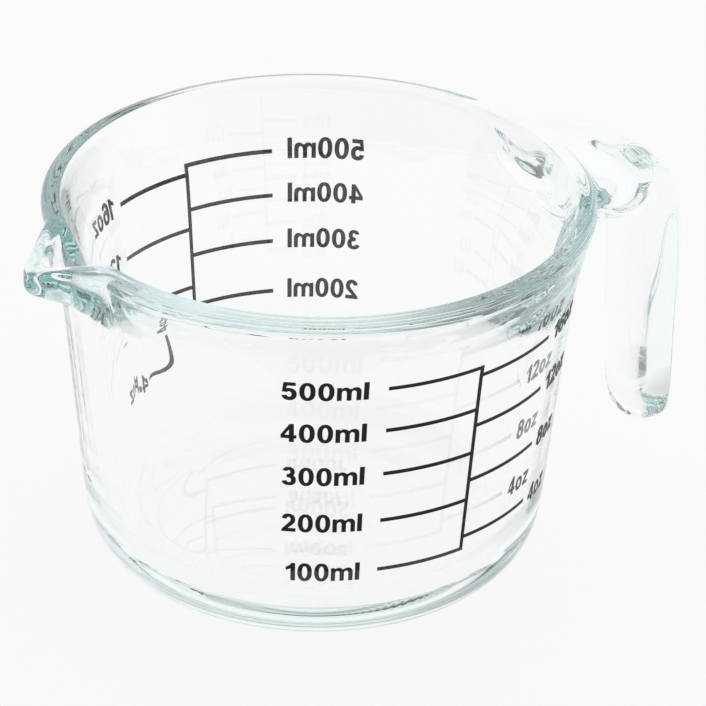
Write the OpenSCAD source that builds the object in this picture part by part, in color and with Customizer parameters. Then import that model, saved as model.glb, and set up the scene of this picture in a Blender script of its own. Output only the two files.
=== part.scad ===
// Measuring jug of clear pressed glass: a tapered bowl with a pouring spout, an open hook handle
// opposite the spout, and a fired enamel scale on the front and on the back.
// The foot stands on Z = 0 with the bowl's axis on Z. The handle is on +X and the spout on -X.

/* [Bowl] */
// Height from the table to the top of the rim
bowl_h = 93; // [84:0.2:114]
// Outer radius of the foot, where the heel begins to curve up
foot_r = 38.4; // [32:0.1:46]
// Width of the flat ring that the bowl stands on
foot_ring_w = 3.8; // [2:0.2:6]
// Radius of the rounded heel between the foot and the wall
heel_round = 16; // [11:0.2:21]
// Outward lean of the wall's outside from upright, in degrees
wall_lean = 5.8; // [3:0.1:9]
// Outward lean of the wall's inside from upright, in degrees
inside_lean = 6.4; // [4:0.1:9]
// Thickness of the wall where its flare begins
wall_t = 7.3; // [5:0.1:9]
// Thickness of the base in its middle
base_t = 7.3; // [5:0.1:10]
// Depth of the hollow under the base
base_hollow = 0.8; // [0.4:0.1:2]
// Radius of the curve between the floor and the wall, inside
floor_round = 13; // [9:0.5:18]

/* [Rim] */
// Height of the upright band round the rim
band_h = 3.7; // [3.2:0.1:5]
// How far the band stands out beyond the flared wall
band_out = 0.4; // [0.2:0.1:1]
// Height over which the outside flares out below the band
flare_h = 20; // [10:0.5:24]
// How far the outside has flared out where the band begins
flare_out = 2; // [0.5:0.1:3]
// Height over which the inside opens out below the mouth
mouth_h = 22; // [10:0.5:26]
// Width of the top of the rim, between its two edges
rim_w = 3.6; // [3.2:0.1:5]
// Rounding of the rim's outer edge
rim_round = 2; // [0.6:0.1:2.4]
// Rounding of the rim's inner edge
mouth_round = 0.6; // [0.3:0.1:0.8]

/* [Spout] */
// How far the spout's tip stands out beyond the rim
spout_reach = 11.4; // [8:0.1:15]
// Width of the spout where it leaves the rim
spout_w = 36; // [30:1:46]
// Depth of the spout below the rim, at the wall
spout_h = 15.6; // [12:0.2:22]
// How far the lip dips towards the tip
spout_dip = 2.7; // [0:0.1:4]
// Radius of the blunt tip, seen from above
tip_r = 3; // [2.4:0.2:6]
// Height of the lip at the tip
tip_h = 7.2; // [6:0.2:9]
// Thickness of the lip at the tip
lip_t = 4.8; // [3:0.2:6]
// Rounding of the lip's upper and lower edges
lip_round = 1.4; // [0.6:0.1:1.6]
// Radius in plan where the spout's sides leave the rim
flank_r = 4.4; // [3:0.2:6]
// Radius of the keel under the spout, where it leaves the wall
keel_r = 3.6; // [2:0.2:5]
// Width of the channel where it leaves the bowl
channel_w = 16; // [10:0.5:20]
// Depth of the channel where it leaves the bowl
throat_d = 7; // [5:0.2:9]
// Depth of the channel at the tip
channel_d = 3.1; // [2:0.1:4]
// Radius of the channel's end and of its bottom
channel_r = 3; // [2:0.2:3.6]
// Rounding of the channel's sides where it leaves the bowl
channel_round = 2; // [1:0.2:3]

/* [Handle] */
// Room for the fingers, between the rim and the handle
finger_gap = 17.4; // [14:0.2:26]
// Width of the handle, across the fingers
handle_w = 21.4; // [16:0.2:26]
// Thickness of the handle
handle_t = 15.2; // [10:0.2:18]
// Width at the handle's free end, before it rounds off
end_w = 21; // [14:0.2:26]
// Thickness at the handle's free end, before it rounds off
end_t = 12.4; // [8:0.2:17]
// Width of the flared root where it runs into the rim
root_w = 58; // [40:0.5:64]
// Thickness of the root where it meets the rim
root_t = 14.2; // [11:0.2:18]
// How far short of the handle's middle the root's flare ends
root_short = 3.6; // [0:0.2:8]
// Outward lean of the grip towards its free end, in degrees
grip_lean = 1; // [0:0.2:6]
// Inner radius of the bend from the root to the grip
bend_inner_r = 10; // [5:0.5:12]
// Step down from the rim to the top of the handle
handle_step = 1.2; // [0.4:0.1:2.4]
// Height of the handle's free end above the table
end_clear = 12.8; // [4:0.2:40]
// Length of the rounded free end
end_round = 9; // [5:0.5:11]

/* [Scales] */
// Thickness of the fired enamel
enamel_t = 0.1; // [0.05:0.05:0.3]
// Clearance between the enamel and the wall
enamel_fit = 0.02; // [0.01:0.01:0.05]
// Thickness of the drawn lines
line_w = 1; // [0.6:0.1:1.6]
// Bearing of the front scale's upright line from the handle, in degrees
front_bearing = -80; // [-120:1:-50]
// Bearing of the back scale's upright line from the handle, in degrees
back_bearing = 96; // [60:1:130]
// Length of a millilitre line, along the wall
ml_line = 22.9; // [12:0.1:30]
// Length of an ounce line, along the wall
oz_line = 23.2; // [12:0.1:30]
// Highest millilitre mark
ml_top = 500; // [300:100:500]
// Step between millilitre marks
ml_step = 100; // [50:50:100]
// Highest ounce mark
oz_top = 16; // [8:4:16]
// Step between ounce marks
oz_step = 4; // [2:2:4]

/* [Hidden] */

glass = [0.78, 0.89, 0.87, 0.55];
enamel = [0.07, 0.07, 0.08];

// Volumes of the scales' units: a kitchen scale takes an ounce as 30 ml
ml_mm3 = 1000;
oz_mm3 = 30 * ml_mm3;
// Length by which a cut passes a face
cut = 5;
// Steps in a curve of the profile
arc_n = 12;
// How late the flare gathers on the outside, and on the inside
flare_curve = 1.6;
mouth_curve = 2.6;

// Bowl: the lines that the profile follows
lean_slope = tan(wall_lean);
lean_width = 1 / cos(wall_lean);
floor_z = base_hollow + base_t;
band_z = bowl_h - band_h;
flare_z = band_z - flare_h;
mouth_z = bowl_h - mouth_round;
mouth_low_z = mouth_z - mouth_h;
rim_r = wall_r(band_z) + flare_out + band_out;
mouth_r = rim_r - rim_w;
mouth_out = mouth_r - inside_line(mouth_z);
floor_curve_z = floor_z + floor_round;
floor_r = inside_line(floor_curve_z) - floor_round / cos(inside_lean);
floor_curve_top = floor_curve_z - floor_round * sin(inside_lean);
hollow_r = foot_r - foot_ring_w;
hollow_ball_r = (pow(hollow_r, 2) + pow(base_hollow, 2)) / (2 * base_hollow);

// Straight outer line of the wall
function wall_r(z) = foot_r + heel_round * lean_width + (z - heel_round) * lean_slope;

// Straight inner line of the wall
function inside_line(z) =
    wall_r(flare_z) - wall_t * lean_width - (flare_z - z) * tan(inside_lean);

// Outer radius of the wall with its flare below the band
function outside_r(z) =
    wall_r(min(z, band_z)) + flare_out * pow(max(0, min(1, (z - flare_z) / flare_h)), flare_curve);

// How far the inside has opened out at a height, towards the mouth
function mouth_flare(z) = mouth_out * pow(max(0, (z - mouth_low_z) / mouth_h), mouth_curve);

// Inner radius of the bowl
function inside_r(z) =
    z >= floor_curve_top
        ? inside_line(z) + mouth_flare(z)
        : floor_r + sqrt(max(0, pow(floor_round, 2) - pow(floor_curve_z - z, 2)));

function arc(centre, r, from, to) = [
    for (i = [0:arc_n])
        let (a = from + (to - from) * i / arc_n)
        centre + r * [cos(a), sin(a)]
];

function between(from, to, n) = [for (i = [0:n]) from + (to - from) * i / n];

function envelope_outline() = concat(
    [[0, 0]],
    arc([foot_r, heel_round], heel_round, -90, -wall_lean),
    [for (z = between(flare_z, band_z, arc_n)) [outside_r(z), z]],
    arc([rim_r - band_out, band_z + band_out], band_out, -90, 0),
    arc([rim_r - rim_round, bowl_h - rim_round], rim_round, 0, 90),
    [[0, bowl_h]]
);

function cavity_outline() = concat(
    [[0, floor_z]],
    arc([floor_r, floor_curve_z], floor_round, -90, -inside_lean),
    [for (z = between(mouth_low_z, mouth_z, arc_n)) [inside_r(z), z]],
    arc([mouth_r + mouth_round, mouth_z], mouth_round, 180, 90),
    [[mouth_r + mouth_round, bowl_h + cut], [0, bowl_h + cut]]
);

module envelope() {
    rotate_extrude() polygon(envelope_outline());
}

module cavity() {
    rotate_extrude() polygon(cavity_outline());
}

// Shallow hollow under the base, which leaves a ring to stand on
module underside_hollow() {
    translate([0, 0, base_hollow - hollow_ball_r]) sphere(hollow_ball_r);
}

// Spout: a blunt beak joined to the rim, with a channel let into it
tip_x = rim_r + spout_reach - tip_r;
tip_z = bowl_h - spout_dip;
spout_low_z = bowl_h - spout_h;
flank_y = spout_w / 2 - flank_r;
flank_x = sqrt(pow(rim_r - flank_r, 2) - pow(flank_y, 2));
channel_end_x = rim_r + spout_reach - lip_t - channel_r;
throat_x = sqrt(pow(mouth_r, 2) - pow(channel_w / 2, 2));
throat_y = channel_w / 2 - channel_round;
throat_z = bowl_h - throat_d;

// Upright post with rounded ends, between two heights
module rounded_post(r, low, high) {
    for (z = [low + lip_round, high - lip_round])
        translate([0, 0, z]) rotate_extrude($fn = 32) {
            translate([r - lip_round, 0]) circle(lip_round, $fn = 16);
            translate([0, -lip_round]) square([r - lip_round, 2 * lip_round]);
        }
}

module spout_beak() {
    hull() {
        translate([-tip_x, 0, 0]) rounded_post(tip_r, tip_z - tip_h, tip_z);
        for (side = [-1, 1])
            translate([-flank_x, side * flank_y, 0]) rounded_post(flank_r, band_z, bowl_h);
        translate([-wall_r(spout_low_z) + keel_r, 0, spout_low_z + keel_r])
            sphere(keel_r, $fn = 32);
    }
}

// Cut with a rounded V across it, deepest at the bowl and closed towards the tip
module spout_channel() {
    hull() {
        for (z = [tip_z - channel_d + channel_r, bowl_h + cut])
            translate([-channel_end_x, 0, z]) sphere(channel_r, $fn = 32);
        for (side = [-1, 1])
            for (z = [bowl_h, bowl_h + cut])
                translate([-throat_x, side * throat_y, z]) sphere(channel_round, $fn = 32);
        translate([-inside_r(throat_z), 0, throat_z + channel_r]) sphere(channel_r, $fn = 32);
    }
}

module bowl() {
    color(glass) difference() {
        union() {
            envelope();
            spout_beak();
        }
        cavity();
        spout_channel();
        underside_hollow();
    }
}

// Handle: sections swept from inside the rim, out over the bend and down to the free end
handle_x = rim_r + finger_gap + handle_t / 2;
handle_top = bowl_h - handle_step;
bend_r = bend_inner_r + handle_t / 2;
bend_x = handle_x - bend_r;
bend_z = handle_top - handle_t / 2 - bend_r;
root_foot_x = sqrt(pow(rim_r, 2) - pow(root_w / 2, 2));
root_x = root_foot_x - root_w / 4;
flare_end_x = handle_x - root_short;
// Points round a section, and sections along each stretch
section_n = 28;
root_n = 9;
bend_n = 9;
drop_n = 6;
end_n = 6;
// Shape of the section, of the root's flare and of the free end's closing turn
squareness = 3.2;
root_curve = 0.75;
last_turn = 84;

// Share of the root's flare at a distance from the axis, from none at the grip to all at the rim
function root_share(x) =
    pow(max(0, min(1, (flare_end_x - x) / (flare_end_x - root_foot_x))), root_curve);

function root_station(x) =
    let (
        share = root_share(x),
        half_t = (handle_t + (root_t - handle_t) * share) / 2,
        half_w = (handle_w + (root_w - handle_w) * share) / 2
    )
    [x, handle_top - half_t, 0, half_t, half_w];

function bend_station(a) =
    let (x = bend_x + bend_r * sin(a), share = root_share(x))
    [
        x, bend_z + bend_r * cos(a), a,
        handle_t / 2, (handle_w + (root_w - handle_w) * share) / 2
    ];

// Middle of the grip at a height, with its lean below the bend
function grip_x(z) = handle_x + (bend_z - z) * tan(grip_lean);

function drop_station(t) =
    let (z = bend_z + (end_clear + end_round - bend_z) * t)
    [
        grip_x(z), z, 90,
        (handle_t + (end_t - handle_t) * t) / 2,
        (handle_w + (end_w - handle_w) * t) / 2
    ];

function end_station(a) =
    let (z = end_clear + end_round * (1 - sin(a)))
    [grip_x(z), z, 90, end_t / 2 * cos(a), end_w / 2 * cos(a)];

function stations() = concat(
    [root_station(root_x)],
    [for (x = between(root_foot_x, bend_x, root_n)) root_station(x)],
    [for (i = [1:bend_n]) bend_station(90 * i / bend_n)],
    [for (i = [1:drop_n]) drop_station(i / drop_n)],
    [for (i = [1:end_n]) end_station(last_turn * i / end_n)]
);

// Power of a signed value, for the rounded-square section
function signed_pow(v, p) = sign(v) * pow(abs(v), p);

function section(s) = [
    for (i = [0:section_n - 1])
        let (
            q = 360 * i / section_n,
            across = s[4] * signed_pow(cos(q), 2 / squareness),
            out = s[3] * signed_pow(sin(q), 2 / squareness)
        )
        [s[0] + out * sin(s[2]), across, s[1] + out * cos(s[2])]
];

// Closed skin of triangles over a row of sections
module loft(rows) {
    n = len(rows[0]);
    last = len(rows) - 1;
    points = [for (row = rows) each row];
    middles = [for (row = [rows[0], rows[last]]) [for (k = [0:2]) mean([for (p = row) p[k]])]];
    first_middle = len(points);
    sides = [
        for (j = [0:last - 1])
            for (i = [0:n - 1])
                let (
                    a = j * n + i,
                    b = j * n + (i + 1) % n
                )
                each [[a, b, a + n], [b, b + n, a + n]]
    ];
    caps = [
        for (i = [0:n - 1])
            each [
                [first_middle, (i + 1) % n, i],
                [first_middle + 1, last * n + i, last * n + (i + 1) % n]
            ]
    ];
    polyhedron(concat(points, middles), concat(sides, caps));
}

function sum(v, i = 0) = i < len(v) ? v[i] + sum(v, i + 1) : 0;

function mean(v) = sum(v) / len(v);

module handle() {
    color(glass) difference() {
        loft([for (s = stations()) section(s)]);
        envelope();
    }
}

// Scales: a mark stands at the height where the bowl holds its volume
slice_n = 40;
search_n = 24;

function held(z) =
    let (dz = (z - floor_z) / slice_n)
    sum([for (i = [0:slice_n - 1]) PI * pow(inside_r(floor_z + (i + 0.5) * dz), 2) * dz]);

function mark_z(volume, low = floor_z, high = bowl_h, step = 0) =
    let (middle = (low + high) / 2)
    step == search_n
        ? middle
        : held(middle) < volume
            ? mark_z(volume, middle, high, step + 1)
            : mark_z(volume, low, middle, step + 1);

ml_marks = [
    for (v = [ml_step:ml_step:ml_top])
        let (z = mark_z(v * ml_mm3))
        if (z < band_z - line_w) z
];
oz_marks = [
    for (v = [oz_step:oz_step:oz_top])
        let (z = mark_z(v * oz_mm3))
        if (z < band_z - line_w) z
];
spine_low = ml_marks[0] - line_w / 2;
spine_high = ml_marks[len(ml_marks) - 1] + line_w / 2;
scale_r = wall_r((spine_low + spine_high) / 2);
spine_turn = turn(line_w);
ml_turn = turn(ml_line);
oz_turn = turn(oz_line);

// Angle that a length covers, along the wall
function turn(length) = length / scale_r * 180 / PI;

// Band of enamel on the wall, between two heights and over an angle
module enamel_band(low, high, turn) {
    heights = between(low, high, max(1, ceil((high - low) / flare_h * 4)));
    levels = len(heights) - 1;
    rotate_extrude(angle = turn)
        polygon(concat(
            [for (z = heights) [outside_r(z) + enamel_fit, z]],
            [for (i = [levels:-1:0]) [outside_r(heights[i]) + enamel_fit + enamel_t, heights[i]]]
        ));
}

// Cut through the enamel between two lines, open at the lines' free ends
module line_gap(low, high) {
    r = outside_r(low);
    rotate(-turn(cut))
        rotate_extrude(angle = turn(cut) + ml_turn)
            translate([r - cut, low]) square([2 * cut, high - low]);
}

// Upright line with the millilitre lines, which run clockwise from it seen from above
module millilitre_lines(bearing) {
    color(enamel) rotate(bearing - spine_turn / 2 - ml_turn) difference() {
        enamel_band(spine_low, spine_high, ml_turn + spine_turn);
        for (i = [1:len(ml_marks) - 1])
            line_gap(ml_marks[i - 1] + line_w / 2, ml_marks[i] - line_w / 2);
    }
}

// Ounce lines, which run the other way from the upright line's edge
module ounce_lines(bearing) {
    color(enamel) rotate(bearing + spine_turn / 2)
        for (z = oz_marks)
            enamel_band(z - line_w / 2, z + line_w / 2, oz_turn);
}

module front_millilitre_scale() { millilitre_lines(front_bearing); }
module front_ounce_scale() { ounce_lines(front_bearing); }
module back_millilitre_scale() { millilitre_lines(back_bearing); }
module back_ounce_scale() { ounce_lines(back_bearing); }

bowl();
handle();
front_millilitre_scale();
front_ounce_scale();
back_millilitre_scale();
back_ounce_scale();
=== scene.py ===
import math

import bmesh
import bpy
from mathutils import Matrix, Vector


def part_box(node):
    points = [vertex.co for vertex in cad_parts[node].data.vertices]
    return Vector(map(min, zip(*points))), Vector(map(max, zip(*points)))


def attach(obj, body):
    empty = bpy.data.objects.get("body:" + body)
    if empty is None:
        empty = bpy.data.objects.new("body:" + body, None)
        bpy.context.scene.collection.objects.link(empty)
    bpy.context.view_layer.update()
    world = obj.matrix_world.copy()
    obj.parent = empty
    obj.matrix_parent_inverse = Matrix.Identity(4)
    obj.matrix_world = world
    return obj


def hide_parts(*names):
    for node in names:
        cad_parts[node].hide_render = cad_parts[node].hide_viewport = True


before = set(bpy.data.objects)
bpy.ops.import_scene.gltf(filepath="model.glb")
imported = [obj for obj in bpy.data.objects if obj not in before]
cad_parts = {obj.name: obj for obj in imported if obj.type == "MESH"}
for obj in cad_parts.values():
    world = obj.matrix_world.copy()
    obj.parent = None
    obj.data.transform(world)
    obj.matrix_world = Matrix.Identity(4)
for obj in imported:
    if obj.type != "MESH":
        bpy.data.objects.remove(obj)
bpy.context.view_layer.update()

# Pressed glass: the bowl, its spout and the hook handle are one pressing of clear glass.
# A plunger forms the thick wall and the flared mouth, the mould's rim forms the spout, and the
# handle grows out of the rim and ends free. Fire polishing leaves the surfaces smooth.
MM = 0.001
bowl_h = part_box("bowl")[1].z / MM
rim_r = 64.3
foot_r = 38.4
foot_ring_w = 3.8
heel_round = 16
wall_lean = math.radians(5.8)
inside_lean = math.radians(6.4)
wall_t = 7.3
base_hollow = 0.8
floor_z = 8.1
floor_round = 13
band_h = 3.7
flare_h = 20
flare_out = 2
flare_curve = 1.6
mouth_h = 22
mouth_curve = 1.8
rim_w = 4.4
rim_round = 1.6
mouth_round = 0.6
band_z = bowl_h - band_h
flare_z = band_z - flare_h
mouth_r = rim_r - rim_w
mouth_z = bowl_h - mouth_round


def wall_r(z):
    """Outer radius of the wall at a height, with its flare below the rim's band."""
    heel_r = foot_r + heel_round / math.cos(wall_lean)
    straight = heel_r + (min(z, band_z) - heel_round) * math.tan(wall_lean)
    return straight + flare_out * max(0, min(1, (z - flare_z) / flare_h)) ** flare_curve


def inside_line(z):
    """Inner radius of the wall at a height, before the mouth opens out."""
    return wall_r(flare_z) - wall_t / math.cos(wall_lean) - (flare_z - z) * math.tan(inside_lean)


def inside_r(z):
    """Inner radius of the bowl at a height, with the mouth's flare."""
    share = max(0, (z - mouth_z + mouth_h) / mouth_h)
    return inside_line(z) + (mouth_r - inside_line(mouth_z)) * share ** mouth_curve


def cage_growth(turn):
    """How much larger a cage with points this far apart is than the circle it smooths to."""
    return 3 / (2 + math.cos(turn))


def cage_arc(centre_r, centre_z, radius, start, end, steps):
    """Cage points whose smoothed curve is an arc in the profile, angles in degrees."""
    turn = math.radians(end - start) / steps
    cage = radius * cage_growth(turn)
    return [
        (centre_r + cage * math.cos(math.radians(start) + turn * i),
         centre_z + cage * math.sin(math.radians(start) + turn * i))
        for i in range(steps + 1)
    ]


hollow_r = foot_r - foot_ring_w
floor_curve_z = floor_z + floor_round
floor_r = inside_line(floor_curve_z) - floor_round / math.cos(inside_lean)
rim_edge = cage_arc(rim_r - rim_round, bowl_h - rim_round, rim_round, 0, 90, 2)
mouth_edge = cage_arc(mouth_r + mouth_round, mouth_z, mouth_round, 90, 180, 2)

# Rows of the profile that stay round: under the base, up the heel and the wall
hollow_rows = (0, 16, 29)
wall_rows = (28, 44, 60, 68, 73.5)
under = [(r, base_hollow * (1 - (r / hollow_r) ** 2)) for r in hollow_rows]
under += [(hollow_r, 0), (foot_r - foot_ring_w / 2, 0), (foot_r, 0)]
under += cage_arc(foot_r, heel_round, heel_round, -90, -math.degrees(wall_lean), 4)[1:]
under += [(wall_r(z), z) for z in wall_rows]

# Rows that the spout pulls out: radius and height round the rim, then on the spout's middle line
beak_rows = (77.5, 80.5, 83, 85.5, 87.5, 89)
beak_line = [(61.6, 77.2), (66, 79.4), (70, 81.4), (73.6, 83), (75.1, 84.8), (75, 86.6)]
band_foot = (rim_r, band_z + 0.5)
band_foot_line = (75, 88)
rim_line = [(74.9, 89.2), (74.3, 90.1), (73.1, 90.4)]
beak = [(wall_r(z), z, *spout) for z, spout in zip(beak_rows, beak_line)]
beak.append((*band_foot, *band_foot_line))
beak += [(*place, *spout) for place, spout in zip(rim_edge, rim_line)]

# The land is the flat of the rim between its two rounded edges
land_share = 0.66
land_line = (71.7, 90.4)
land = [(rim_r - rim_w * land_share, bowl_h, *land_line)]

mouth_line = [(70.6, 90.4), (70.2, 90.2), (70, 89.7)]
channel_rows = (90.8, 89.2, 87.4, 85.4, 83, 80)
channel_line = [(69.4, 88.4), (67.8, 87.4), (65, 86.9), (61.6, 86.5), (58.2, 85.8), (56.2, 83.4)]
channel_foot = (inside_r(76), 76)
channel_foot_line = (inside_r(76) + 0.2, 77)
channel = [(*place, *spout) for place, spout in zip(mouth_edge, mouth_line)]
channel += [(inside_r(z), z, *spout) for z, spout in zip(channel_rows, channel_line)]
channel.append((*channel_foot, *channel_foot_line))

# Rows that stay round again: down the inner wall and over the floor
inner_rows = (71, 62, 46, 31)
floor_rows = (floor_r - 7, 14, 0)
inside = [(inside_r(z), z) for z in inner_rows]
inside += cage_arc(floor_r, floor_curve_z, floor_round, -math.degrees(inside_lean), -90, 4)
inside += [(r, floor_z) for r in floor_rows]

# The last value of a row says what pulls it: 0 the beak, 1 the channel
rows = [(r, z, r, z, 0) for r, z in under]
rows += [(*row, 0) for row in beak]
rows += [(*row, 0.5) for row in land]
rows += [(*row, 1) for row in channel]
rows += [(r, z, r, z, 1) for r, z in inside]

glass = bmesh.new()
row_at = glass.verts.layers.int.new("row_at")
profile = []
for i, (r, z, *_) in enumerate(rows):
    vert = glass.verts.new((r, 0, z))
    vert[row_at] = i
    profile.append(vert)
edges = [glass.edges.new(pair) for pair in zip(profile, profile[1:])]

# The profile is spun in wide steps along the sides, and in finer ones past the handle and the spout
spout_half = math.radians(20)
root_half = math.radians(35)
wide_step = math.radians(5)
root_step = math.radians(2.5)
fine_step = math.radians(1.25)
side_sweep = math.pi - spout_half - root_half
turning = profile + edges
for sweep, step in (
    (root_half, root_step), (side_sweep, wide_step), (2 * spout_half, fine_step),
    (side_sweep, wide_step), (root_half, root_step),
):
    turning = bmesh.ops.spin(
        glass, geom=turning, cent=(0, 0, 0), axis=(0, 0, 1), dvec=(0, 0, 0),
        angle=sweep, steps=round(sweep / step), use_duplicate=False,
    )["geom_last"]
bmesh.ops.remove_doubles(glass, verts=glass.verts, dist=0.01)
bmesh.ops.recalc_face_normals(glass, faces=glass.faces)

# Spout: in plan its flanks and its channel are straight lines that run from the rim to blunt ends,
# and its beak narrows towards its foot on the wall
spout_x = 74.9
flank_turn = math.radians(40.7)
flank_r = 57.5
beak_narrowing = 1
channel_x = 70.1
channel_turn = math.radians(50.5)
channel_r = 46.2


def pull_share(turn, line_turn, line_r, round_r, end_r):
    """Share of the spout's reach at an angle from its tip: none on the round rim, all at the tip."""
    reach = line_r / math.cos(turn - line_turn)
    return (max(round_r, min(end_r, reach)) - round_r) / (end_r - round_r)


for vert in glass.verts:
    turn = abs(math.atan2(vert.co.y, -vert.co.x))
    step = wide_step
    if turn < spout_half:
        step = fine_step
    elif turn > math.pi - root_half:
        step = root_step
    r, z, spout_r, spout_z, in_channel = rows[vert[row_at]]
    pull = 0
    if turn < spout_half:
        depth = max(0, (band_z - z) / (band_z - beak_rows[0]))
        narrowing = 1 + beak_narrowing * depth
        beak_share = pull_share(turn, flank_turn, flank_r, rim_r, spout_x) ** narrowing
        channel_share = pull_share(turn, channel_turn, channel_r, mouth_r, channel_x)
        pull = beak_share * (1 - in_channel) + channel_share * in_channel
    pulled_r = r + (spout_r - r) * pull
    heading = Vector((vert.co.x, vert.co.y, 0)).normalized()
    vert.co = heading * pulled_r * cage_growth(step)
    vert.co.z = z + (spout_z - z) * pull

# Handle: the rim's outer faces are drawn out to the grip, turned down and closed to a round end
handle_low, handle_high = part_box("handle")
handle_w = 21.4
handle_t = 15.2
end_w = 21
end_t = 12.4
root_w = 58
root_t = 14.2
root_short = 3.6
root_curve = 0.75
bend_inner_r = 10
end_round = 9
end_t_curve = 0.25
end_w_curve = 0.6
grip_lean = math.radians(1)
handle_top = handle_high.z / MM
handle_x = handle_high.x / MM - handle_t / 2
end_clear = handle_low.z / MM
bend_r = bend_inner_r + handle_t / 2
bend_x = handle_x - bend_r
bend_z = handle_top - handle_t / 2 - bend_r

# Its section is a squarish oval, drawn a little larger because smoothing shrinks it
squareness = 2.6
section_growth = 1.012
root_turn = math.radians(25)
root_rows = (len(under), len(under) + len(beak) - len(rim_edge))

# The root's lower edge arches up to the rim at both ends, so its rows slide up the wall there
arch_rise = 11
arch_curve = 1.7
arch_fade = math.radians(45)
arch_low = rows[root_rows[0]][1]
arch_top = rows[root_rows[1]][1]
for vert in glass.verts:
    turn = abs(math.atan2(vert.co.y, vert.co.x))
    if root_rows[0] <= vert[row_at] < root_rows[1] and turn < arch_fade:
        fade = max(0, (turn - root_turn) / (arch_fade - root_turn))
        arch = min(1, turn / root_turn) ** arch_curve * (1 - fade * fade * (3 - 2 * fade))
        r, z, *_ = rows[vert[row_at]]
        raised_z = z + arch_rise * arch * (arch_top - z) / (arch_top - arch_low)
        growth = (wall_r(raised_z) if raised_z < band_z else rim_r) / r
        vert.co.x *= growth
        vert.co.y *= growth
        vert.co.z = raised_z

# Each point of the root keeps its place in the handle's section: across it, and outward through it
across = glass.verts.layers.float.new("across")
outward = glass.verts.layers.float.new("outward")
root_faces = []
for face in glass.faces:
    turns = [math.atan2(vert.co.y, vert.co.x) for vert in face.verts]
    levels = [vert[row_at] for vert in face.verts]
    if (
        max(abs(turn) for turn in turns) < root_turn + root_step / 2
        and root_rows[0] <= min(levels) and max(levels) <= root_rows[1]
    ):
        root_faces.append(face)
root_verts = {vert for face in root_faces for vert in face.verts}
for vert in root_verts:
    vert[across] = math.atan2(vert.co.y, vert.co.x) / root_turn
    vert[outward] = 2 * (vert[row_at] - root_rows[0]) / (root_rows[1] - root_rows[0]) - 1

flare_end_x = handle_x - root_short
root_foot_x = math.sqrt(rim_r ** 2 - (root_w / 2) ** 2)


def root_half_w(x):
    """Half the handle's width at a distance from the axis, with the root's flare."""
    share = max(0, min(1, (flare_end_x - x) / (flare_end_x - root_foot_x))) ** root_curve
    return (handle_w + (root_w - handle_w) * share) / 2


def root_station(x):
    """Place, turn and half sizes of a section in the level root."""
    return x, handle_top - root_t / 2, 0, root_t / 2, root_half_w(x)


def bend_station(degrees):
    """The same in the bend."""
    turn = math.radians(degrees)
    x = bend_x + bend_r * math.sin(turn)
    return x, bend_z + bend_r * math.cos(turn), turn, handle_t / 2, root_half_w(x)


def drop_station(share):
    """The same down the grip."""
    z = bend_z + (end_clear + end_round - bend_z) * share
    half_t = (handle_t + (end_t - handle_t) * share) / 2
    half_w = (handle_w + (end_w - handle_w) * share) / 2
    return handle_x + (bend_z - z) * math.tan(grip_lean), z, math.pi / 2, half_t, half_w


def end_station(degrees):
    """The same where the grip closes to its round end."""
    turn = math.radians(degrees)
    z = end_clear + end_round * (1 - math.sin(turn))
    x = handle_x + (bend_z - z) * math.tan(grip_lean)
    half_t = end_t / 2 * math.cos(turn) ** end_t_curve
    half_w = end_w / 2 * math.cos(turn) ** end_w_curve
    return x, z, math.pi / 2, half_t, half_w


root_x = 68
bend_turns = (2, 16, 30, 44, 58, 74, 90)
drop_shares = (0.3, 0.65, 1)
end_turns = (30, 55, 75, 85)
stations = [root_station(root_x)]
stations += [bend_station(degrees) for degrees in bend_turns]
stations += [drop_station(share) for share in drop_shares]
stations += [end_station(degrees) for degrees in end_turns]

# The root is drawn through the stations, and its edge on the wall is softened afterwards
edge_from = 0.99
edge_passes = 2
near_zero = 0.001
root_edge = [vert for vert in root_verts if max(abs(vert[across]), -vert[outward]) > edge_from]
cap = root_faces
for x, z, turn, half_t, half_w in stations:
    drawn = bmesh.ops.extrude_face_region(glass, geom=cap)["geom"]
    bmesh.ops.delete(glass, geom=[face for face in cap if face.is_valid], context="FACES")
    cap = [item for item in drawn if isinstance(item, bmesh.types.BMFace)]
    for vert in {vert for face in cap for vert in face.verts}:
        u, v = vert[across], vert[outward]
        square = max(abs(u), abs(v), near_zero)
        rounded = (abs(u) ** squareness + abs(v) ** squareness) ** (1 / squareness)
        rounded = max(rounded, near_zero)
        side = half_w * section_growth * u * square / rounded
        rise = half_t * section_growth * v * square / rounded
        vert.co = (x + rise * math.sin(turn), side, z + rise * math.cos(turn))
for _ in range(edge_passes):
    bmesh.ops.smooth_vert(
        glass, verts=root_edge, factor=0.5, use_axis_x=True, use_axis_y=True, use_axis_z=True,
    )
bmesh.ops.recalc_face_normals(glass, faces=glass.faces)

bmesh.ops.scale(glass, vec=(MM, MM, MM), verts=glass.verts)
for face in glass.faces:
    face.smooth = True
glass_mesh = bpy.data.meshes.new("pressed_glass")
glass.to_mesh(glass_mesh)
glass.free()
pressed_glass = bpy.data.objects.new("pressed_glass", glass_mesh)
bpy.context.collection.objects.link(pressed_glass)
smooth = pressed_glass.modifiers.new("smooth", "SUBSURF")
smooth.levels = 2
smooth.render_levels = 2

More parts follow.
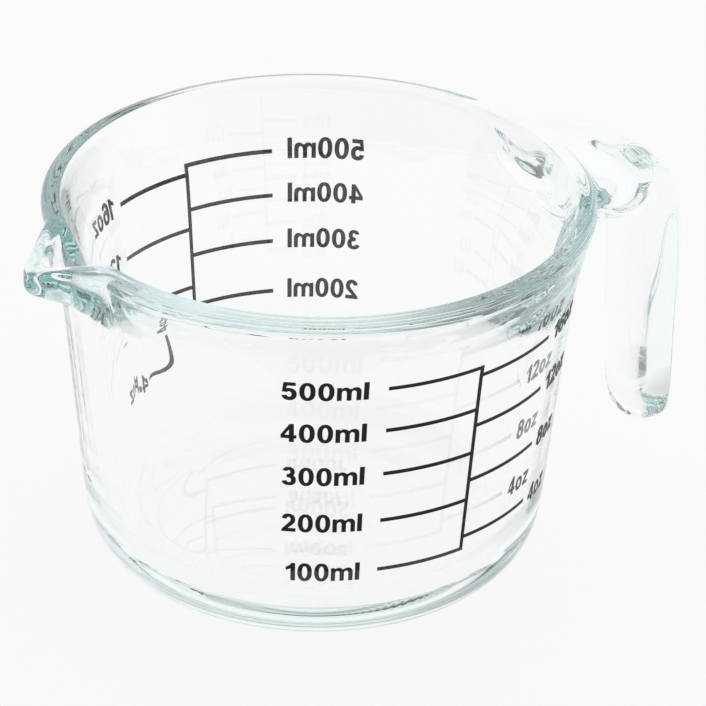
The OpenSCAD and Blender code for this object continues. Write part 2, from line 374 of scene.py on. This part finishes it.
# Fire-polished glass with a few faintly dull patches, and a slight wave from the mould that fades
# out below the rim. Its tint grows with the depth of the glass, so it shows in thick edges.
clear_glass = bpy.data.materials.new("clear_glass")
clear_glass.use_nodes = True
nodes = clear_glass.node_tree.nodes
links = clear_glass.node_tree.links
shader = nodes["Principled BSDF"]
shader.inputs["Base Color"].default_value = (1, 1, 1, 1)
shader.inputs["Transmission Weight"].default_value = 1
shader.inputs["IOR"].default_value = 1.5
shader.inputs["Specular IOR Level"].default_value = 0.1
glass_place = nodes.new("ShaderNodeTexCoord")
polish = nodes.new("ShaderNodeTexNoise")
polish.inputs["Scale"].default_value = 120
polish_level = nodes.new("ShaderNodeMapRange")
polish_level.inputs["From Min"].default_value = 0.55
polish_level.inputs["From Max"].default_value = 0.8
polish_level.inputs["To Min"].default_value = 0
polish_level.inputs["To Max"].default_value = 0.006
mould_wave = nodes.new("ShaderNodeTexNoise")
mould_wave.inputs["Scale"].default_value = 35
mould_wave.inputs["Detail"].default_value = 0
wave_top = 75
wave_fade_h = 20
glass_height = nodes.new("ShaderNodeSeparateXYZ")
wave_fade = nodes.new("ShaderNodeMapRange")
wave_fade.inputs["From Min"].default_value = (wave_top - wave_fade_h) * MM
wave_fade.inputs["From Max"].default_value = wave_top * MM
wave_fade.inputs["To Min"].default_value = 1
wave_fade.inputs["To Max"].default_value = 0
wave_bump = nodes.new("ShaderNodeBump")
wave_bump.inputs["Distance"].default_value = 0.000012
links.new(glass_place.outputs["Object"], polish.inputs["Vector"])
links.new(polish.outputs["Fac"], polish_level.inputs["Value"])
links.new(polish_level.outputs["Result"], shader.inputs["Roughness"])
links.new(glass_place.outputs["Object"], mould_wave.inputs["Vector"])
links.new(glass_place.outputs["Object"], glass_height.inputs["Vector"])
links.new(glass_height.outputs["Z"], wave_fade.inputs["Value"])
links.new(wave_fade.outputs["Result"], wave_bump.inputs["Strength"])
links.new(mould_wave.outputs["Fac"], wave_bump.inputs["Height"])
links.new(wave_bump.outputs["Normal"], shader.inputs["Normal"])
absorption = nodes.new("ShaderNodeVolumeAbsorption")
absorption.inputs["Color"].default_value = (0.2, 0.76, 0.74, 1)
absorption.inputs["Density"].default_value = 1.15
links.new(absorption.outputs["Volume"], nodes["Material Output"].inputs["Volume"])
glass_mesh.materials.append(clear_glass)
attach(pressed_glass, "root")
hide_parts("bowl", "handle")

# Scale lines: black enamel, screen printed on the outside of the wall and fired into the glass.
# An upright line carries the millilitre lines on its left and the ounce lines on its right,
# once on the front and once on the back.
line_w = 1
bearings = {"front": math.radians(-80), "back": math.radians(96)}
ml_marks = {
    "front": {100: 23.9, 200: 37.7, 300: 50.7, 400: 62.6, 500: 74.1},
    "back": {100: 24.2, 200: 38.1, 300: 51.2, 400: 63.1, 500: 74.1},
}
oz_marks = {4: 27.2, 8: 43, 12: 58.1, 16: 71.9}
ml_line = 22.2
oz_line = 23
scale_mid = 49
scale_r = wall_r(scale_mid)
step_turn = math.radians(1.5)

# The print stands a hair off the glass, so that the glass doesn't mirror it from within
enamel_gap = 0.05
enamel_proud = 0.12

# Satin black with the fine grain of fired enamel
black_enamel = bpy.data.materials.new("black_enamel")
black_enamel.use_nodes = True
nodes = black_enamel.node_tree.nodes
links = black_enamel.node_tree.links
shader = nodes["Principled BSDF"]
shader.inputs["Base Color"].default_value = (0.009, 0.009, 0.01, 1)
shader.inputs["Specular IOR Level"].default_value = 0.2
print_place = nodes.new("ShaderNodeTexCoord")
grain = nodes.new("ShaderNodeTexNoise")
grain.inputs["Scale"].default_value = 1800
grain.inputs["Detail"].default_value = 3
satin = nodes.new("ShaderNodeMapRange")
satin.inputs["To Min"].default_value = 0.3
satin.inputs["To Max"].default_value = 0.52
fired = nodes.new("ShaderNodeBump")
fired.inputs["Strength"].default_value = 0.4
fired.inputs["Distance"].default_value = 0.00003
links.new(print_place.outputs["Object"], grain.inputs["Vector"])
links.new(grain.outputs["Fac"], satin.inputs["Value"])
links.new(satin.outputs["Result"], shader.inputs["Roughness"])
links.new(grain.outputs["Fac"], fired.inputs["Height"])
links.new(fired.outputs["Normal"], shader.inputs["Normal"])


def printed(print_mesh, name, *cad_nodes):
    """Hands a finished bmesh of enamel, in millimetres, over to an object."""
    bmesh.ops.scale(print_mesh, vec=(MM, MM, MM), verts=print_mesh.verts)
    mesh = bpy.data.meshes.new(name)
    print_mesh.to_mesh(mesh)
    print_mesh.free()
    mesh.materials.append(black_enamel)
    piece = bpy.data.objects.new(name, mesh)
    bpy.context.collection.objects.link(piece)
    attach(piece, "root")
    if cad_nodes:
        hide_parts(*cad_nodes)


def scale_lines(side, bearing):
    """Upright line with its marks, as one comb of enamel on the wall."""
    half = line_w / 2
    ml_rows = [(z - half, z + half) for z in ml_marks[side].values()]
    oz_rows = [(z - half, z + half) for z in oz_marks.values()]
    heights = sorted({z for row in ml_rows + oz_rows for z in row})
    comb = bmesh.new()
    start = bearing - half / scale_r
    turn = Vector((math.cos(start), math.sin(start), 0))
    inner = [comb.verts.new(turn * (wall_r(z) + enamel_gap) + Vector((0, 0, z))) for z in heights]
    outer = [comb.verts.new(turn * (wall_r(z) + enamel_proud) + Vector((0, 0, z))) for z in heights]
    for a, b, c, d in zip(inner, inner[1:], outer[1:], outer):
        comb.faces.new((a, b, c, d))
    ends = {"ml": list(comb.faces)}
    spun = bmesh.ops.spin(
        comb, geom=list(comb.faces), cent=(0, 0, 0), axis=(0, 0, 1), dvec=(0, 0, 0),
        angle=line_w / scale_r, steps=2,
    )["geom_last"]
    ends["oz"] = [item for item in spun if isinstance(item, bmesh.types.BMFace)]
    for unit, marks, length, way in (("ml", ml_rows, ml_line, -1), ("oz", oz_rows, oz_line, 1)):
        for low, high in marks:
            mark = [
                face for face in ends[unit]
                if face.is_valid and low < face.calc_center_median().z < high
            ]
            bmesh.ops.spin(
                comb, geom=mark, cent=(0, 0, 0), axis=(0, 0, way), dvec=(0, 0, 0),
                angle=length / scale_r, steps=math.ceil(length / scale_r / step_turn),
            )
            bmesh.ops.delete(comb, geom=[face for face in mark if face.is_valid], context="FACES")
    bmesh.ops.remove_doubles(comb, verts=comb.verts, dist=0.001)
    bmesh.ops.recalc_face_normals(comb, faces=comb.faces)
    return comb


for side, bearing in bearings.items():
    printed(
        scale_lines(side, bearing), side + "_scale_lines",
        side + "_millilitre_scale", side + "_ounce_scale",
    )

# Scale numbers: the same enamel, printed in one pull with the lines. A bold plain numeral set
# stands beside the free end of each line, millilitres on the left and ounces on the right.
digit_h = 4.95
letter_gap = 0.1
ml_gap = {"front": 4.8, "back": 4.3}
oz_gap = 3.2
number_lift = {"front": 0, "back": 0.55}
curve_points = 20
curve_square = 0.9
strip_w = 0.2


def bow(x, y, rx, ry, start, end):
    """Points along a squarish oval between two angles in degrees, in digit heights."""
    count = max(3, round(abs(end - start) / 360 * curve_points))
    points = []
    for i in range(count + 1):
        turn = math.radians(start + (end - start) * i / count)
        c, s = math.cos(turn), math.sin(turn)
        points.append((
            x + rx * math.copysign(abs(c) ** curve_square, c),
            y + ry * math.copysign(abs(s) ** curve_square, s),
        ))
    return points


def oval(x, y, rx, ry):
    """Points all round a squarish oval."""
    return bow(x, y, rx, ry, 0, 360)[:-1]


glyphs = {
    "0": [oval(0.355, 0.5, 0.355, 0.52), oval(0.355, 0.5, 0.125, 0.345)],
    "1": [
        [(0.27, 0), (0.5, 0), (0.5, 1), (0.31, 1), (0.21, 0.86), (0.04, 0.76), (0.04, 0.57), (0.27, 0.68)],
    ],
    "2": [
        bow(0.345, 0.69, 0.32, 0.325, 172, -38)
        + [(0.31, 0.195), (0.68, 0.195), (0.68, 0), (0, 0), (0.02, 0.13)]
        + bow(0.345, 0.69, 0.095, 0.14, -38, 172)
    ],
    "3": [
        bow(0.335, 0.735, 0.285, 0.28, 168, -45) + bow(0.34, 0.29, 0.335, 0.31, 55, -168)
        + bow(0.34, 0.29, 0.105, 0.13, -165, 75) + [(0.24, 0.43), (0.24, 0.6)]
        + bow(0.335, 0.735, 0.075, 0.105, -70, 160)
    ],
    "4": [
        [(0.37, 0), (0.595, 0), (0.595, 0.2), (0.71, 0.2), (0.71, 0.385), (0.595, 0.385),
         (0.595, 1), (0.4, 1), (0, 0.385), (0, 0.2), (0.37, 0.2)],
        [(0.37, 0.385), (0.18, 0.385), (0.37, 0.68)],
    ],
    "5": [
        [(0.1, 1), (0.63, 1), (0.63, 0.81), (0.26, 0.81)]
        + bow(0.335, 0.33, 0.34, 0.35, 108, -168) + bow(0.335, 0.33, 0.11, 0.155, -160, 140)
        + [(0.025, 0.46)]
    ],
    "6": [
        bow(0.345, 0.5, 0.355, 0.52, 28, 270)[:-1] + bow(0.355, 0.325, 0.335, 0.345, -90, 118)
        + bow(0.355, 0.69, 0.105, 0.145, 185, 15),
        oval(0.36, 0.32, 0.105, 0.155),
    ],
    "8": [
        bow(0.345, 0.29, 0.345, 0.31, 130, 410) + bow(0.345, 0.735, 0.295, 0.285, -45, 225),
        oval(0.345, 0.74, 0.085, 0.11),
        oval(0.345, 0.285, 0.11, 0.14),
    ],
    "m": [
        [(0, 0), (0.215, 0)] + bow(0.32, 0.42, 0.105, 0.15, 180, 0) + [(0.425, 0), (0.64, 0)]
        + bow(0.745, 0.42, 0.105, 0.15, 180, 0) + [(0.85, 0), (1.065, 0)]
        + bow(0.825, 0.48, 0.24, 0.27, 0, 140) + bow(0.38, 0.48, 0.23, 0.27, 40, 140)
        + [(0.2, 0.735), (0, 0.735)]
    ],
    "l": [[(0, 0), (0.23, 0), (0.23, 1), (0, 1)]],
    "o": [oval(0.34, 0.365, 0.34, 0.385), oval(0.34, 0.365, 0.115, 0.205)],
    "z": [
        [(0, 0), (0.62, 0), (0.62, 0.175), (0.28, 0.175), (0.61, 0.57), (0.61, 0.735),
         (0.02, 0.735), (0.02, 0.56), (0.33, 0.56), (0, 0.155)],
    ],
}


def glyph_width(letter):
    """Width of a letter or digit, in digit heights."""
    return max(x for outline in glyphs[letter] for x, _ in outline)


def word_width(word):
    """Width of a word in millimetres, with the gaps between its letters."""
    return (sum(glyph_width(letter) for letter in word) + letter_gap * (len(word) - 1)) * digit_h


def add_word(numbers, word, bearing, along, z):
    """Fills a word's outlines, cuts them in strips, thickens them and bends them onto the wall."""
    flat = bmesh.new()
    start = 0
    for letter in word:
        for outline in glyphs[letter]:
            loop = [flat.verts.new(((start + x) * digit_h, (y - 0.5) * digit_h, 0)) for x, y in outline]
            for a, b in zip(loop, loop[1:] + loop[:1]):
                flat.edges.new((a, b))
        start += glyph_width(letter) + letter_gap
    bmesh.ops.triangle_fill(
        flat, use_beauty=True, use_dissolve=False, edges=flat.edges, normal=(0, 0, 1),
    )
    cut = digit_h * strip_w
    place = cut
    while place < word_width(word):
        bmesh.ops.bisect_plane(
            flat, geom=flat.verts[:] + flat.edges[:] + flat.faces[:], dist=0.0001,
            plane_co=(place, 0, 0), plane_no=(1, 0, 0),
        )
        place += cut
    raised = bmesh.ops.extrude_face_region(flat, geom=flat.faces[:])["geom"]
    for item in raised:
        if isinstance(item, bmesh.types.BMVert):
            item.co.z = enamel_proud - enamel_gap
    bmesh.ops.recalc_face_normals(flat, faces=flat.faces)
    for vert in flat.verts:
        turn = bearing + (along + vert.co.x) / scale_r
        height = z + vert.co.y * math.cos(wall_lean)
        r = wall_r(height) + enamel_gap + vert.co.z
        vert.co = (r * math.cos(turn), r * math.sin(turn), height)
    mesh = bpy.data.meshes.new("word")
    flat.to_mesh(mesh)
    flat.free()
    numbers.from_mesh(mesh)
    bpy.data.meshes.remove(mesh)


for side, bearing in bearings.items():
    numbers = bmesh.new()
    for volume, z in ml_marks[side].items():
        word = f"{volume}ml"
        along = -ml_line - ml_gap[side] - word_width(word)
        add_word(numbers, word, bearing, along, z + number_lift[side])
    for volume, z in oz_marks.items():
        add_word(numbers, f"{volume}oz", bearing, oz_line + oz_gap, z + number_lift[side])
    printed(numbers, side + "_scale_numbers")

# Studio: a plain pale floor and a soft white surround, dimmer behind the camera and past the spout,
# so that the glass has darker edges. One camera stands where the photograph was taken from.
floor_size = 3
floor = bmesh.new()
bmesh.ops.create_grid(floor, x_segments=1, y_segments=1, size=floor_size)
floor_mesh = bpy.data.meshes.new("floor")
floor.to_mesh(floor_mesh)
floor.free()
floor_object = bpy.data.objects.new("floor", floor_mesh)
bpy.context.collection.objects.link(floor_object)
# Seen straight, mirrored or through glass, most of the floor's tone is plain light, and the rest is
# matte and keeps the object's shadow
pale_floor = bpy.data.materials.new("pale_floor")
pale_floor.use_nodes = True
nodes = pale_floor.node_tree.nodes
links = pale_floor.node_tree.links
nodes.remove(nodes["Principled BSDF"])
matte = nodes.new("ShaderNodeBsdfDiffuse")
matte.inputs["Color"].default_value = (0.85, 0.85, 0.85, 1)
glow = nodes.new("ShaderNodeEmission")
glow.inputs["Strength"].default_value = 1
seen = nodes.new("ShaderNodeMixShader")
path = nodes.new("ShaderNodeLightPath")
through = nodes.new("ShaderNodeMath")
through.operation = "MAXIMUM"
any_seen = nodes.new("ShaderNodeMath")
any_seen.operation = "MAXIMUM"
glow_share = nodes.new("ShaderNodeMath")
glow_share.operation = "MULTIPLY"
glow_share.inputs[1].default_value = 0.9
links.new(path.outputs["Is Glossy Ray"], through.inputs[0])
links.new(path.outputs["Is Transmission Ray"], through.inputs[1])
links.new(path.outputs["Is Camera Ray"], any_seen.inputs[0])
links.new(through.outputs[0], any_seen.inputs[1])
links.new(any_seen.outputs[0], glow_share.inputs[0])
links.new(glow_share.outputs[0], seen.inputs["Fac"])
links.new(matte.outputs["BSDF"], seen.inputs[1])
links.new(glow.outputs["Emission"], seen.inputs[2])
links.new(seen.outputs["Shader"], nodes["Material Output"].inputs["Surface"])
floor_mesh.materials.append(pale_floor)

world = bpy.data.worlds.new("studio")
bpy.context.scene.world = world
world.use_nodes = True
nodes = world.node_tree.nodes
links = world.node_tree.links
background = nodes["Background"]
background.inputs["Color"].default_value = (1, 1, 1, 1)
sky_place = nodes.new("ShaderNodeTexCoord")
path = nodes.new("ShaderNodeLightPath")
# Each dim side: its direction, how squarely a ray faces it where it starts and is full, its level
tone = None
for dim_side, dim_from, dim_full, dim_level in (
    ((-0.5, -0.72, 0.48), 0.15, 0.95, 0.5),
    ((-0.905, -0.02, 0.425), 0.25, 0.95, 0.4),
):
    facing = nodes.new("ShaderNodeVectorMath")
    facing.operation = "DOT_PRODUCT"
    facing.inputs[1].default_value = dim_side
    dimmed = nodes.new("ShaderNodeMapRange")
    dimmed.interpolation_type = "SMOOTHSTEP"
    dimmed.inputs["From Min"].default_value = dim_from
    dimmed.inputs["From Max"].default_value = dim_full
    dimmed.inputs["To Min"].default_value = 1
    dimmed.inputs["To Max"].default_value = dim_level
    links.new(sky_place.outputs["Generated"], facing.inputs[0])
    links.new(facing.outputs["Value"], dimmed.inputs["Value"])
    if tone:
        both = nodes.new("ShaderNodeMath")
        both.operation = "MULTIPLY"
        links.new(tone, both.inputs[0])
        links.new(dimmed.outputs["Result"], both.inputs[1])
        tone = both.outputs[0]
    else:
        tone = dimmed.outputs["Result"]
# The camera itself sees the surround as plain white
plain_white = nodes.new("ShaderNodeMix")
plain_white.data_type = "FLOAT"
plain_white.inputs["B"].default_value = 1
links.new(path.outputs["Is Camera Ray"], plain_white.inputs["Factor"])
links.new(tone, plain_white.inputs["A"])
links.new(plain_white.outputs["Result"], background.inputs["Strength"])

scene = bpy.context.scene
scene.view_settings.view_transform = "Standard"
glass_bounces = 128
scene.cycles.max_bounces = glass_bounces
scene.cycles.transmission_bounces = glass_bounces
scene.cycles.glossy_bounces = glass_bounces
scene.cycles.transparent_max_bounces = 32

view_turn = math.radians(-28.66)
view_rise = math.radians(28.98)
view_roll = math.radians(1.44)
view_distance = 1128.9
view_aside = 8.69
view_height = 50.68
photo_side = 706
focal_pixels = 4794.5
back = Vector((
    math.sin(view_turn) * math.cos(view_rise),
    -math.cos(view_turn) * math.cos(view_rise),
    math.sin(view_rise),
))
right = Vector((math.cos(view_turn), math.sin(view_turn), 0))
up = back.cross(right)
rolled_right = right * math.cos(view_roll) + up * math.sin(view_roll)
rolled_up = up * math.cos(view_roll) - right * math.sin(view_roll)
camera = bpy.data.cameras.new("camera")
camera.sensor_width = 36
camera.lens = camera.sensor_width * focal_pixels / photo_side
camera.clip_end = 20
camera_object = bpy.data.objects.new("camera", camera)
bpy.context.collection.objects.link(camera_object)
place = Vector((0, 0, view_height)) + right * view_aside + back * view_distance
turned = Matrix((rolled_right, rolled_up, back)).transposed().to_4x4()
camera_object.matrix_world = Matrix.Translation(place * MM) @ turned
scene.camera = camera_object
